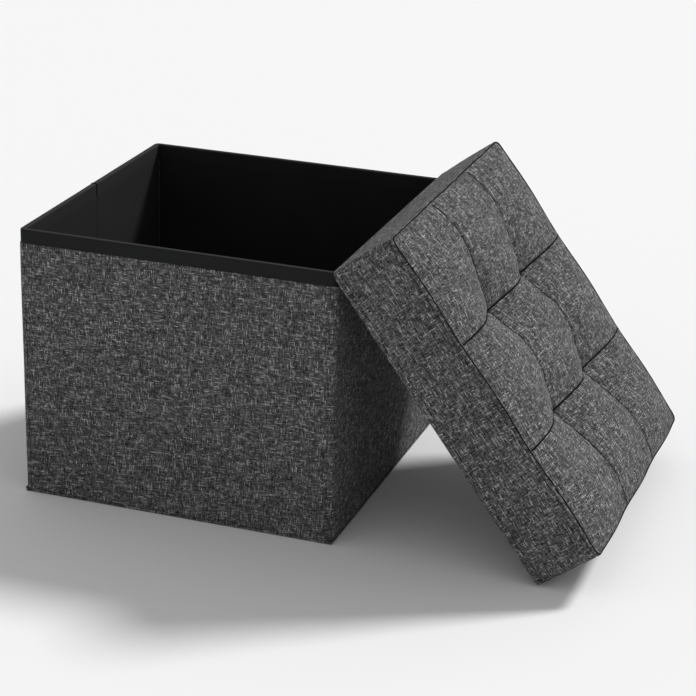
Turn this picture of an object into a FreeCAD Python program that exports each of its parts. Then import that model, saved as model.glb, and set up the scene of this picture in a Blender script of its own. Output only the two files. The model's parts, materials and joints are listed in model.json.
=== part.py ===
"""Folding storage ottoman: a square fabric-covered box and a tufted lid leaning on its rim.

Millimetres, +Z up. The origin is on the floor, under the middle of the box. The front panel faces
-Y, and the lid leans on the rim of the right side (+X), with its open side towards the box.
"""
import FreeCAD, Part
import math
import os

V = FreeCAD.Vector

# ---- driving dimensions: the box ----
BOX_WIDTH = 362.0  # along X, over the covers
BOX_DEPTH = 360.0  # along Y, over the covers
BOX_HEIGHT = 306.0  # floor to the top of the rim
COVER = 1.5  # padded linen-look cover
BOARD = 5.0  # wall board
LINING = 1.0  # black lining
BASE_BOARD = 3.0
BASE_SKIN = 0.5  # base lining and base cover
BASE_INSET = 1.0  # base edge behind the face of the covers
RIM_HEIGHT = 15.0  # visible height of the binding band
RIM_SKIN = 0.75  # thickness of the binding band
RIM_ROUND = 0.6  # rounding of the band's top edges
FOLD_GAP = 0.3  # running gap round panels that fold
CREASE_GAP = 1.5  # end of each half side to the crease

# ---- driving dimensions: the lid ----
LID_CLEARANCE = 5.0  # closed lid's skirt to the box, each side
LID_SIDE = 78.0  # open edge to the top seam
LID_CAVITY = 16.0  # open edge to the lining
LID_BOARD = 5.0
SKIRT_BOARD = 5.0
SKIRT_TOP_GAP = 6.0  # top seam down to the top of the skirt boards
HEM = 1.0  # cover turned under the skirt boards
LID_CORNER = 7.0  # radius of the upright corners
CROWN = 11.0  # rise of the cushion above the top seam
CROWN_ROUND = 10.0  # rounding of the cushion's top edges
CROWN_LAND = 0.5  # least straight stretch between the seam and that rounding
TUFT_RADIUS = 17.0  # mouth of a tuft's pocket
TUFT_DEPTH = 15.0  # depth of a tuft's pocket
TUFT_FLOOR = 3.0  # radius of the pocket's floor
CORD_RADIUS = 1.0
CORD_GAP = 0.3  # cord to the hole in the lid board
WASHER_RADIUS = 8.0
WASHER = 1.2
WASHER_GAP = 0.3

# ---- how the lid leans ----
HOOK = 4.0  # the rim touches this far in from the lid's upper edge
REST_GAP = 0.3  # rim to the lid's open edge

# ---- worked out from the driving dimensions ----
WALL = COVER + BOARD + LINING
HALF_X = BOX_WIDTH / 2
HALF_Y = BOX_DEPTH / 2
INNER_X = HALF_X - WALL  # inner faces of the side panels, where their corner hinges stand
INNER_Y = HALF_Y - WALL  # inner faces of the front and back panels
BASE_TOP = BASE_BOARD + 2 * BASE_SKIN
RIM_BOTTOM = BOX_HEIGHT - RIM_HEIGHT
BOARD_TOP = BOX_HEIGHT - RIM_SKIN

LID_WALL = COVER + SKIRT_BOARD + LINING
LID_HALF_X = HALF_X + LID_CLEARANCE + LID_WALL
LID_HALF_Y = HALF_Y + LID_CLEARANCE + LID_WALL
SKIRT_TOP = LID_SIDE - SKIRT_TOP_GAP
LID_LINING_TOP = LID_CAVITY + LINING
LID_BOARD_TOP = LID_LINING_TOP + LID_BOARD


def save(name, shape):
    """Write one sub-part."""
    shape.exportStep("parts/%s.step" % name)


def block(x0, x1, y0, y1, z0, z1):
    """A box between two corners."""
    return Part.makeBox(x1 - x0, y1 - y0, z1 - z0, V(x0, y0, z0))


def prism(outline, z0, z1):
    """A closed plan wire, raised from z0 to z1."""
    face = Part.Face(outline)
    face.translate(V(0, 0, z0))
    return face.extrude(V(0, 0, z1 - z0))


# ---- box panels ----
def corner_outline(r_in, r_out, y_end):
    """Plan of one layer of a half side: flat from the crease to the corner hinge, then round it.

    The hinge stands at (INNER_X, -INNER_Y), and the layer lies between r_in and r_out from it.
    """
    hx, hy = INNER_X, -INNER_Y
    diag = math.sqrt(0.5)
    edges = [
        Part.LineSegment(V(hx + r_in, y_end, 0), V(hx + r_out, y_end, 0)).toShape(),
        Part.LineSegment(V(hx + r_out, y_end, 0), V(hx + r_out, hy, 0)).toShape(),
        Part.Arc(
            V(hx + r_out, hy, 0),
            V(hx + r_out * diag, hy - r_out * diag, 0),
            V(hx, hy - r_out, 0),
        ).toShape(),
        Part.LineSegment(V(hx, hy - r_out, 0), V(hx, hy - r_in, 0)).toShape(),
        Part.Arc(
            V(hx, hy - r_in, 0),
            V(hx + r_in * diag, hy - r_in * diag, 0),
            V(hx + r_in, hy, 0),
        ).toShape(),
        Part.LineSegment(V(hx + r_in, hy, 0), V(hx + r_in, y_end, 0)).toShape(),
    ]
    return Part.Wire(edges)


def side_layer(r_in, r_out, z0, z1):
    """One wrapped layer of the right front half side."""
    return prism(corner_outline(r_in, r_out, -CREASE_GAP), z0, z1)


def side_panel():
    """Layers of the right front half side, by name."""
    r_board = LINING + BOARD
    bottom = BASE_TOP + FOLD_GAP
    lining = block(INNER_X, INNER_X + LINING, -INNER_Y + FOLD_GAP, -CREASE_GAP, bottom, RIM_BOTTOM)
    cap = side_layer(LINING - RIM_SKIN, r_board + RIM_SKIN, RIM_BOTTOM, BOX_HEIGHT)
    core = side_layer(LINING, r_board, RIM_BOTTOM, BOARD_TOP)
    return {
        "board": side_layer(LINING, r_board, bottom, BOARD_TOP),
        "cover": side_layer(r_board, WALL, bottom, RIM_BOTTOM),
        "lining": lining,
        "rim_band": rounded_top(cap).cut(core),
    }


def flat_panel():
    """Layers of the front panel, by name. Its ends butt against the side panels' round ends."""
    half = INNER_X - FOLD_GAP
    face = -INNER_Y - LINING - BOARD  # outer face of the board
    lining = block(-half, half, -INNER_Y - LINING, -INNER_Y, BASE_TOP, RIM_BOTTOM)
    cap = block(-half, half, face - RIM_SKIN, -INNER_Y - LINING + RIM_SKIN, RIM_BOTTOM, BOX_HEIGHT)
    core = block(-half, half, face, -INNER_Y - LINING, RIM_BOTTOM, BOARD_TOP)
    return {
        "board": block(-half, half, face, -INNER_Y - LINING, BASE_TOP, BOARD_TOP),
        "cover": block(-half, half, -HALF_Y, face, BASE_TOP, RIM_BOTTOM),
        "lining": lining,
        "rim_band": rounded_top(cap).cut(core),
    }


def lifted(shape):
    """A panel layer with its bottom cut to clear the base it slides over."""
    floor = block(-HALF_X, HALF_X, -HALF_Y - 1, HALF_Y + 1, 0, BASE_TOP + FOLD_GAP)
    return shape.cut(floor)


def rounded_top(cap):
    """Round the two long top edges of a rim band."""
    top = [
        e
        for e in cap.Edges
        if abs(e.BoundBox.ZMin - BOX_HEIGHT) < 1e-6
        and abs(e.BoundBox.ZMax - BOX_HEIGHT) < 1e-6
        and e.Length > 2 * BOARD + 2
    ]
    return cap.makeFillet(RIM_ROUND, top)


def mirror_x(shape):
    return shape.mirror(V(0, 0, 0), V(1, 0, 0))


def mirror_y(shape):
    return shape.mirror(V(0, 0, 0), V(0, 1, 0))


def build_box():
    for layer, shape in side_panel().items():
        save("right_front_" + layer, shape)
        save("right_rear_" + layer, mirror_y(shape))
        save("left_front_" + layer, mirror_x(shape))
        save("left_rear_" + layer, mirror_x(mirror_y(shape)))
    for layer, shape in flat_panel().items():
        save("front_" + layer, shape)
        save("back_" + layer, lifted(mirror_y(shape)))


def build_base():
    x, y = HALF_X - BASE_INSET, HALF_Y - BASE_INSET
    board_top = BASE_SKIN + BASE_BOARD
    save("base_cover", block(-x, x, -y, y, 0, BASE_SKIN))
    save("base_board", block(-x, x, -y, y, BASE_SKIN, board_top))
    save("base_lining", block(-x, x, -y, y, board_top, BASE_TOP))


# ---- lid, closed frame: open edge at z = 0, top seam at z = LID_SIDE ----
def rounded_block(inset, z0, z1):
    """A block with the lid's plan, set in from its outer face, with rounded upright corners."""
    x, y = LID_HALF_X - inset, LID_HALF_Y - inset
    shape = block(-x, x, -y, y, z0, z1)
    radius = max(LID_CORNER - inset, 0.5)
    upright = [e for e in shape.Edges if e.BoundBox.ZLength > (z1 - z0) / 2]
    return shape.makeFillet(radius, upright)


def ring(inset, thickness, z0, z1):
    return rounded_block(inset, z0, z1).cut(rounded_block(inset + thickness, z0 - 1, z1 + 1))


def quarter(side):
    """A wedge that holds one side of the lid, mitred at the corners."""
    far = 2 * (LID_HALF_X + LID_HALF_Y)
    dx, dy = LID_HALF_X, LID_HALF_Y
    if side in ("front", "rear"):
        s = -1 if side == "front" else 1
        depth = min(dx, dy)
        corners = [V(-(dx - depth), s * (dy - depth), 0), V(-dx, s * dy, 0), V(-dx, s * far, 0)]
        corners += [V(dx, s * far, 0), V(dx, s * dy, 0), V(dx - depth, s * (dy - depth), 0)]
    else:
        s = -1 if side == "upper" else 1
        depth = min(dx, dy)
        corners = [V(s * (dx - depth), -(dy - depth), 0), V(s * dx, -dy, 0), V(s * far, -dy, 0)]
        corners += [V(s * far, dy, 0), V(s * dx, dy, 0), V(s * (dx - depth), dy - depth, 0)]
    points = [p for i, p in enumerate(corners) if (p - corners[i - 1]).Length > 1e-6]
    return prism(Part.makePolygon(points + points[:1]), -1, LID_SIDE + CROWN + 1)


def tuft_places():
    """The four tuft points, at the thirds of the lid."""
    x, y = LID_HALF_X / 3, LID_HALF_Y / 3
    return [V(sx * x, sy * y, 0) for sx in (-1, 1) for sy in (-1, 1)]


def pockets(extra):
    """The four tuft pockets, each grown by extra all round."""
    top = LID_SIDE + CROWN
    slope = (TUFT_RADIUS - TUFT_FLOOR) / TUFT_DEPTH
    reach = 1.0  # above the crown, so that the cut is clean
    floor = top - TUFT_DEPTH - extra
    r_floor = TUFT_FLOOR + extra * 0.6
    r_top = r_floor + slope * (top + reach - floor)
    cones = [
        Part.makeCone(r_floor, r_top, top + reach - floor, p + V(0, 0, floor))
        for p in tuft_places()
    ]
    return Part.makeCompound(cones)


def crowned(inset, z0):
    """The cushion's outside, from z0 up, set in by inset, with rounded top edges and no pockets."""
    top = LID_SIDE + CROWN - inset
    shape = rounded_block(inset, z0, top)
    edges = [e for e in shape.Edges if e.BoundBox.ZMin > top - 1e-6]
    return shape.makeFillet(min(CROWN_ROUND, CROWN - CROWN_LAND) - inset, edges)


def cords(radius, z0):
    """The tuft cords, from z0 up to the cover at the floor of each pocket."""
    top = LID_SIDE + CROWN - TUFT_DEPTH - COVER
    solids = [Part.makeCylinder(radius, top - z0, p + V(0, 0, z0)) for p in tuft_places()]
    return Part.makeCompound(solids)


def discs(radius, thickness, z0):
    """A disc under each tuft point."""
    solids = [Part.makeCylinder(radius, thickness, p + V(0, 0, z0)) for p in tuft_places()]
    return Part.makeCompound(solids)


def build_lid():
    """Sub-parts of the lid in its closed frame, by name."""
    parts = {}
    cover = ring(0, COVER, 0, LID_SIDE).fuse(ring(0, LID_WALL, 0, HEM)).removeSplitter()
    skirt = ring(COVER, SKIRT_BOARD, HEM, SKIRT_TOP)
    for side in ("front", "rear", "upper", "lower"):
        wedge = quarter(side)
        parts["lid_%s_cover" % side] = cover.common(wedge)
        parts["lid_%s_skirt" % side] = skirt.common(wedge)
    parts["lid_skirt_lining"] = ring(COVER + SKIRT_BOARD, LINING, HEM, LID_CAVITY)

    seat = COVER + SKIRT_BOARD  # inset of the skirt boards' inner face
    parts["lid_lining"] = rounded_block(seat, LID_CAVITY, LID_LINING_TOP)
    pocket = discs(WASHER_RADIUS + WASHER_GAP, WASHER, LID_LINING_TOP)
    holes = discs(CORD_RADIUS + CORD_GAP, LID_BOARD, LID_LINING_TOP)
    board = rounded_block(seat, LID_LINING_TOP, LID_BOARD_TOP)
    parts["lid_board"] = board.cut(pocket).cut(holes)
    parts["tuft_washers"] = discs(WASHER_RADIUS, WASHER, LID_LINING_TOP)
    parts["tuft_cords"] = cords(CORD_RADIUS, LID_LINING_TOP + WASHER)

    core = rounded_block(seat, LID_BOARD_TOP, SKIRT_TOP)
    outside = crowned(0, LID_SIDE).fuse([rounded_block(COVER, SKIRT_TOP, LID_SIDE), core])
    inside = crowned(COVER, SKIRT_TOP).fuse(core).removeSplitter()
    foam = inside.cut(pockets(COVER))
    parts["lid_top_cover"] = outside.cut(pockets(0)).cut(foam)
    parts["lid_foam"] = foam.cut(cords(CORD_RADIUS, LID_BOARD_TOP))
    return parts


# ---- the lean: the lid's open plane lies on the rim's corner, its lower edge on the floor ----
LID_LENGTH = 2 * LID_HALF_X


def lean_angle():
    """Angle of the lid's open plane to the floor, from the rim's height and the lid's length."""
    angle = math.asin(BOX_HEIGHT / (LID_LENGTH - HOOK))
    for _ in range(20):
        lift = REST_GAP * math.cos(angle)
        angle = math.asin((BOX_HEIGHT + lift) / (LID_LENGTH - HOOK))
    return angle


def lean(shape):
    """Put a lid sub-part where the leaning lid holds it."""
    angle = lean_angle()
    rim_x = HALF_X - COVER + RIM_SKIN
    along = V(math.cos(angle), 0, -math.sin(angle))
    out = V(math.sin(angle), 0, math.cos(angle))
    touch = V(rim_x, 0, BOX_HEIGHT) + out * REST_GAP
    middle = touch + along * (LID_LENGTH / 2 - HOOK)
    placed = shape.copy()
    placed.rotate(V(0, 0, 0), V(0, 1, 0), math.degrees(angle))
    placed.translate(middle)
    return placed


os.makedirs("parts", exist_ok=True)
build_box()
build_base()
for name, shape in build_lid().items():
    save(name, lean(shape))
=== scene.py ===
"""Looks of the folding storage ottoman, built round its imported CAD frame. Metres, +Z up."""
import json
import math

import bpy
import numpy as np
from mathutils import Matrix, Vector, noise


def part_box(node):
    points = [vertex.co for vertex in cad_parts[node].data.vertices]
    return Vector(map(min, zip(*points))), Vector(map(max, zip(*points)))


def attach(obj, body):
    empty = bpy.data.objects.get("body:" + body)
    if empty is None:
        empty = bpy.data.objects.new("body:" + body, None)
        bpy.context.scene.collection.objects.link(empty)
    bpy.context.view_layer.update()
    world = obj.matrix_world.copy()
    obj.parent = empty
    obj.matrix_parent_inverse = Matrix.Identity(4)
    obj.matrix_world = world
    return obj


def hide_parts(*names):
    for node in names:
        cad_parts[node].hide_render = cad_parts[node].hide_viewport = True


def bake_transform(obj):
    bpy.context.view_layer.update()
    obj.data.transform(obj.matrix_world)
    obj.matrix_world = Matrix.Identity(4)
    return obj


MM = 0.001
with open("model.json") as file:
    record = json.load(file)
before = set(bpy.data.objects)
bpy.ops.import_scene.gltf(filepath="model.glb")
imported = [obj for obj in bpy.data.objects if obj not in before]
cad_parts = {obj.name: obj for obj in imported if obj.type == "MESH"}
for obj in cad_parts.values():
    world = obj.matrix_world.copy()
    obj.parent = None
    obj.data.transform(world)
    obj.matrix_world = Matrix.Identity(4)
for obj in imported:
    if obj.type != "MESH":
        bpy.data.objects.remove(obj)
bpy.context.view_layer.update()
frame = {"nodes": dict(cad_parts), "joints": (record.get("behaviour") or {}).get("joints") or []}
NODES = frame["nodes"]
JOINTS = {j["name"]: j for j in frame["joints"]}


# ---------------------------------------------------------------- sizes from the frame
def low(node):
    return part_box(node)[0]


def high(node):
    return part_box(node)[1]


HALF_X = high("right_front_cover").x  # outer faces of the box's covers
RIM_TOP = high("front_rim_band").z
RIM_BOTTOM = high("front_cover").z
BASE_TOP = high("base_lining").z
BASE_X = high("base_board").x
BASE_Y = high("base_board").y
WALL_BOTTOM = low("right_front_cover").z
HINGE_X = JOINTS["side_fold"]["pos_m"][0]  # corner hinges, at the inner corners of the box
HINGE_Y = -JOINTS["side_fold"]["pos_m"][1]
WALL = HALF_X - HINGE_X
BOARD_OUT = high("right_front_board").x - HINGE_X  # outer face of the wall boards, from the hinge
BAND_OUT = high("right_front_rim_band").x - HINGE_X
BAND_IN = low("right_front_rim_band").x - HINGE_X
CREASE_GAP = -high("right_front_board").y


def lid_frame():
    """The leaning lid's own frame: X down the slope, Y across, Z out of its open plane."""
    faces = [p for p in NODES["lid_lining"].data.polygons if p.normal.z > 0.1]
    out = max(faces, key=lambda p: p.area).normal.normalized()
    out = Vector((out.x, 0.0, out.z)).normalized()
    along = Vector((out.z, 0.0, -out.x))
    foot = Vector(JOINTS["lid_tip"]["pos_m"])
    reach = [along.dot(v.co - foot) for v in NODES["lid_upper_cover"].data.vertices]
    half = -min(reach) / 2
    middle = foot - along * half
    rows = [[along[i], (0.0, 1.0, 0.0)[i], out[i], middle[i]] for i in range(3)]
    return Matrix(rows + [[0, 0, 0, 1]]), half


LID, LID_X = lid_frame()
LID_BACK = LID.inverted()


def lid_heights(node):
    """Lowest and highest place of a node over the lid's open plane."""
    heights = [(LID_BACK @ v.co).z for v in NODES[node].data.vertices]
    return min(heights), max(heights)


LID_Y = high("lid_rear_cover").y
SEAM = lid_heights("lid_front_cover")[1]  # the lid's top seam
CAVITY = lid_heights("lid_lining")[0]  # depth of the lid's recess
LID_BOARD_TOP = lid_heights("lid_board")[1]
SKIRT_IN = LID_Y + high("lid_front_skirt").y + 0.5 * MM  # clear of the skirt boards
LID_WALL = LID_Y - max((LID_BACK @ v.co).y for v in NODES["lid_lining"].data.vertices) + 1 * MM
LID_CORNER = 9 * MM

BASE_SKIN = 0.95 * MM  # cloth turned round the edge of the base board


# ---------------------------------------------------------------- small tools
def link(name, mesh):
    obj = bpy.data.objects.new(name, mesh)
    bpy.context.scene.collection.objects.link(obj)
    return obj


def mesh_from(name, verts, faces, uvs=None, material=None, sharp=40):
    """A shaded object from points, faces and one (u, v) in metres for each corner of each face."""
    mesh = bpy.data.meshes.new(name)
    mesh.from_pydata([tuple(map(float, v)) for v in verts], [], faces)
    mesh.validate()
    mesh.update()
    if uvs is not None:
        layer = mesh.uv_layers.new(name="cloth")
        layer.data.foreach_set("uv", np.array(uvs, float).ravel())
    if material:
        mesh.materials.append(material)
    mesh.shade_smooth()
    mesh.set_sharp_from_angle(angle=math.radians(sharp))
    return link(name, mesh)


def wave(x, y, z=0.0, scale=0.05):
    """Smooth noise from -1 to 1, whose features are about scale metres wide."""
    return noise.noise(Vector((x / scale, y / scale, z / scale)))


def bell(d, width):
    """A bump of 1 at d = 0 that fades over width."""
    return math.exp(-((d / width) ** 2))


def belong(piece, slot_name, body, *nodes):
    """Give a piece its body and the CAD nodes that it stands for. Its finish, slot_name, is not used."""
    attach(piece, body)
    if nodes:
        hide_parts(*nodes)


def sweep(name, path, profile, material, closed_path=False, shift=None, u0=0.0):
    """Carry a closed profile along a plan path.

    path holds (x, y, nx, ny, s): a place, the outward normal and the length so far. profile holds
    (r, z): how far out and how high. shift(s, r, z) moves a point outward by what it returns.
    """
    n, m = len(path), len(profile)
    verts = []
    for x, y, nx, ny, s in path:
        for r, z in profile:
            d = r + (shift(s, r, z) if shift else 0.0)
            verts.append((x + nx * d, y + ny * d, z))
    run = [0.0]
    for k in range(m):
        a, b = profile[k], profile[(k + 1) % m]
        run.append(run[-1] + math.hypot(b[0] - a[0], b[1] - a[1]))
    faces, uvs = [], []
    for i in range(n if closed_path else n - 1):
        j = (i + 1) % n
        s0 = u0 + path[i][4]
        s1 = u0 + (path[j][4] if j else path[i][4] + path_step(path))
        for k in range(m):
            q = (k + 1) % m
            faces.append((i * m + k, j * m + k, j * m + q, i * m + q))
            uvs += [(s0, run[k]), (s1, run[k]), (s1, run[k + 1]), (s0, run[k + 1])]
    if not closed_path:
        for i, order in ((0, 1), (n - 1, -1)):
            ring = [i * m + k for k in range(m)][::order]
            faces.append(tuple(ring))
            uvs += [(u0 + path[i][4], verts[v][2]) for v in ring]
    return mesh_from(name, verts, faces, uvs, material)


def path_step(path):
    """Length of the closing step of a closed path."""
    a, b = path[-1], path[0]
    return math.hypot(b[0] - a[0], b[1] - a[1])


def straight(x0, y0, x1, y1, step, fine=()):
    """Points along a straight wall, with closer ones near the lengths in fine."""
    length = math.hypot(x1 - x0, y1 - y0)
    marks = set(np.round(np.linspace(0, length, max(2, int(length / step) + 1)), 6))
    for place in fine:
        for d in (-3.0, -2.0, -1.4, -0.9, -0.5, 0.0, 0.5, 0.9, 1.4, 2.0, 3.0):
            if 0 < place + d * MM < length:
                marks.add(round(place + d * MM, 6))
    nx, ny = (y1 - y0) / length, -(x1 - x0) / length
    out = []
    for t in sorted(marks):
        f = t / length
        out.append((x0 + (x1 - x0) * f, y0 + (y1 - y0) * f, nx, ny, t))
    return out


def corner(x, y, a0, a1, count, s0, radius):
    """Points that stay at a hinge while the outward normal turns from angle a0 to a1 (degrees)."""
    out = []
    for i in range(count + 1):
        a = math.radians(a0 + (a1 - a0) * i / count)
        out.append((x, y, math.cos(a), math.sin(a), s0 + radius * abs(a - math.radians(a0))))
    return out


def chain(*parts):
    """Join runs of a path end to end, dropping doubled points."""
    out = []
    for part in parts:
        base = out[-1][4] if out else 0.0
        first = part[0][4]
        for x, y, nx, ny, s in part:
            here = (x, y, nx, ny, base + s - first)
            same = out and max(abs(here[i] - out[-1][i]) for i in range(4)) < 1e-7
            if not same:
                out.append(here)
    return out


# ---------------------------------------------------------------- materials
def node_kit(name):
    mat = bpy.data.materials.new(name)
    mat.use_nodes = True
    tree = mat.node_tree
    tree.nodes.clear()
    out = tree.nodes.new("ShaderNodeOutputMaterial")
    bsdf = tree.nodes.new("ShaderNodeBsdfPrincipled")
    tree.links.new(bsdf.outputs[0], out.inputs["Surface"])
    return mat, tree, bsdf


class Kit:
    """Short calls for shader maths."""

    def __init__(self, tree):
        self.tree = tree

    def put(self, socket, value):
        if isinstance(value, bpy.types.NodeSocket):
            self.tree.links.new(value, socket)
        else:
            socket.default_value = value

    def math(self, op, a, b=0.0):
        node = self.tree.nodes.new("ShaderNodeMath")
        node.operation = op
        for i, value in enumerate((a, b)):
            self.put(node.inputs[i], value)
        return node.outputs[0]

    def xyz(self, x, y, z=0.0):
        node = self.tree.nodes.new("ShaderNodeCombineXYZ")
        for i, value in enumerate((x, y, z)):
            self.put(node.inputs[i], value)
        return node.outputs[0]

    def place(self):
        return self.tree.nodes.new("ShaderNodeTexCoord").outputs["Object"]

    def noise(self, vector, scale=1.0, detail=2.0, rough=0.5):
        node = self.tree.nodes.new("ShaderNodeTexNoise")
        self.put(node.inputs["Vector"], vector)
        node.inputs["Scale"].default_value = scale
        node.inputs["Detail"].default_value = detail
        node.inputs["Roughness"].default_value = rough
        return node.outputs["Fac"]

    def white(self, vector):
        node = self.tree.nodes.new("ShaderNodeTexWhiteNoise")
        self.put(node.inputs["Vector"], vector)
        return node.outputs["Value"]

    def span(self, value, lo, hi, to_lo=0.0, to_hi=1.0):
        node = self.tree.nodes.new("ShaderNodeMapRange")
        node.clamp = True
        self.put(node.inputs["Value"], value)
        for key, number in (("From Min", lo), ("From Max", hi), ("To Min", to_lo), ("To Max", to_hi)):
            self.put(node.inputs[key], number)
        return node.outputs["Result"]

    def mix(self, factor, a, b):
        """A number between a and b."""
        node = self.tree.nodes.new("ShaderNodeMix")
        self.put(node.inputs[0], factor)
        self.put(node.inputs[2], a)
        self.put(node.inputs[3], b)
        return node.outputs[0]

    def ramp(self, factor, stops):
        node = self.tree.nodes.new("ShaderNodeValToRGB")
        self.put(node.inputs[0], factor)
        ramp = node.color_ramp
        while len(ramp.elements) < len(stops):
            ramp.elements.new(0.5)
        for element, (place, colour) in zip(ramp.elements, stops):
            element.position = place
            element.color = (*colour, 1.0)
        return node.outputs[0]

    def bump(self, height, distance, strength=1.0):
        node = self.tree.nodes.new("ShaderNodeBump")
        node.inputs["Distance"].default_value = distance
        node.inputs["Strength"].default_value = strength
        self.put(node.inputs["Height"], height)
        return node.outputs[0]


THREAD = 1.18 * MM  # pitch of the linen's threads
TONE_RUN = 0.13  # how fast a thread's tone changes along it, per crossing
SWAY = 25  # how often the threads wander from straight, per metre
FIBRE, FLECK, SLUB = 0.3, 0.24, 0.10  # shares of the fibres, of the crossings and of the slubs in the tone


def linen():
    """Slubby plain weave: light and dark threads over and under each other, in cloth metres."""
    mat, tree, bsdf = node_kit("linen_cover")
    k = Kit(tree)
    uv = tree.nodes.new("ShaderNodeUVMap")
    uv.uv_map = "cloth"
    split = tree.nodes.new("ShaderNodeSeparateXYZ")
    tree.links.new(uv.outputs[0], split.inputs[0])
    u0, v0 = split.outputs[0], split.outputs[1]
    # threads wander a little from straight
    sway_u = k.noise(k.xyz(k.math("MULTIPLY", u0, SWAY), k.math("MULTIPLY", v0, SWAY)), 1.0, 2)
    sway_v = k.noise(k.xyz(k.math("MULTIPLY", u0, SWAY), k.math("MULTIPLY", v0, SWAY), 7.7), 1.0, 2)
    u = k.math("DIVIDE", k.math("ADD", u0, k.math("MULTIPLY", sway_u, 2 * THREAD)), THREAD)
    v = k.math("DIVIDE", k.math("ADD", v0, k.math("MULTIPLY", sway_v, 2 * THREAD)), THREAD)
    warp_id, weft_id = k.math("FLOOR", u), k.math("FLOOR", v)
    fu, fv = k.math("FRACT", u), k.math("FRACT", v)
    # tone of each thread along its length, and the thick pale slubs
    warp_at = k.xyz(k.math("MULTIPLY", warp_id, 7.31), k.math("MULTIPLY", v, TONE_RUN))
    weft_at = k.xyz(k.math("MULTIPLY", u, TONE_RUN), k.math("MULTIPLY", weft_id, 5.77), 3.1)
    warp_tone, weft_tone = k.noise(warp_at, 1.0, 2, 0.6), k.noise(weft_at, 1.0, 2, 0.6)
    warp_slub, weft_slub = k.span(warp_tone, 0.58, 0.68), k.span(weft_tone, 0.58, 0.68)
    # which thread lies on top: a plain weave where thick slubs win
    parity = k.math("ABSOLUTE", k.math("MODULO", k.math("ADD", warp_id, weft_id), 2.0))
    lead = k.math("SUBTRACT", parity, 0.5)
    lead = k.math("ADD", lead, k.math("MULTIPLY", k.math("SUBTRACT", warp_slub, weft_slub), 0.9))
    over = k.math("GREATER_THAN", lead, 0.0)
    # round threads with painted shade in the dark gaps between them, and the thread beneath showing
    # faintly
    dome_u = k.math("SINE", k.math("MULTIPLY", fu, math.pi))
    dome_v = k.math("SINE", k.math("MULTIPLY", fv, math.pi))
    warp_h = k.math("MULTIPLY", dome_u, k.mix(dome_v, 0.5, 1.0))
    weft_h = k.math("MULTIPLY", dome_v, k.mix(dome_u, 0.5, 1.0))
    height = k.mix(over, weft_h, warp_h)
    tone = k.mix(k.mix(over, 0.34, 0.66), weft_tone, warp_tone)
    fibre = k.noise(k.xyz(k.math("MULTIPLY", u, 3.3), k.math("MULTIPLY", v, 3.3), 1.3), 1.0, 2)
    fleck = k.white(k.xyz(warp_id, weft_id, 9.0))
    slub = k.mix(over, weft_slub, warp_slub)
    shade = k.math("MULTIPLY", k.math("SUBTRACT", fibre, 0.5), FIBRE)
    shade = k.math("ADD", k.span(tone, 0.25, 0.75), shade)
    shade = k.math("ADD", shade, k.math("MULTIPLY", k.math("SUBTRACT", fleck, 0.5), FLECK))
    shade = k.math("ADD", shade, k.math("MULTIPLY", k.math("SUBTRACT", slub, 0.15), SLUB))
    # painted shade: the colour is darkened where the threads dip, in the gaps between them
    painted_gap_shade = k.span(height, 0.10, 0.70, 0.08, 1.0)
    cloud = k.noise(k.xyz(k.math("MULTIPLY", u0, 9), k.math("MULTIPLY", v0, 9), 5.0), 1.0, 2)
    cloud = k.span(cloud, 0.3, 0.7, 0.97, 1.03)
    greys = [(0.0, 0.014), (0.28, 0.050), (0.50, 0.135), (0.72, 0.31), (1.0, 0.62)]
    colour = k.ramp(shade, [(place, (g, g, g * 1.01)) for place, g in greys])
    mul = tree.nodes.new("ShaderNodeMix")
    mul.data_type = "RGBA"
    mul.blend_type = "MULTIPLY"
    mul.inputs[0].default_value = 1.0
    tree.links.new(colour, mul.inputs[6])
    # the painted gap shade times the random tone cloud
    gap_shade_and_tone = k.math("MULTIPLY", painted_gap_shade, cloud)
    tree.links.new(k.xyz(gap_shade_and_tone, gap_shade_and_tone, gap_shade_and_tone), mul.inputs[7])
    tree.links.new(mul.outputs[2], bsdf.inputs["Base Color"])
    bsdf.inputs["Roughness"].default_value = 0.95
    bsdf.inputs["Specular IOR Level"].default_value = 0.10
    bsdf.inputs["Sheen Weight"].default_value = 0.03
    bsdf.inputs["Sheen Roughness"].default_value = 0.5
    lump = k.math("ADD", height, k.math("MULTIPLY", k.math("SUBTRACT", tone, 0.5), 0.8))
    tree.links.new(k.bump(lump, 0.40 * MM, 0.8), bsdf.inputs["Normal"])
    return mat


def soft_black(name, colour, rough, sheen, cell, depth):
    """Dark non-woven or binding cloth: fine felted fibres with a soft sheen."""
    mat, tree, bsdf = node_kit(name)
    k = Kit(tree)
    coords = k.place()
    fine = k.noise(coords, 1.0 / cell, 4, 0.7)
    broad = k.noise(coords, 22.0, 2)
    value = k.math("ADD", k.math("MULTIPLY", fine, 0.7), k.math("MULTIPLY", broad, 0.3))
    dark = tuple(c * 0.55 for c in colour)
    light = tuple(c * 1.7 for c in colour)
    tree.links.new(k.ramp(value, [(0.3, dark), (0.7, light)]), bsdf.inputs["Base Color"])
    tree.links.new(k.span(fine, 0.3, 0.7, rough - 0.08, rough + 0.06), bsdf.inputs["Roughness"])
    bsdf.inputs["Specular IOR Level"].default_value = 0.25
    bsdf.inputs["Sheen Weight"].default_value = sheen
    bsdf.inputs["Sheen Roughness"].default_value = 0.4
    tree.links.new(k.bump(fine, depth, 0.6), bsdf.inputs["Normal"])
    return mat


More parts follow.
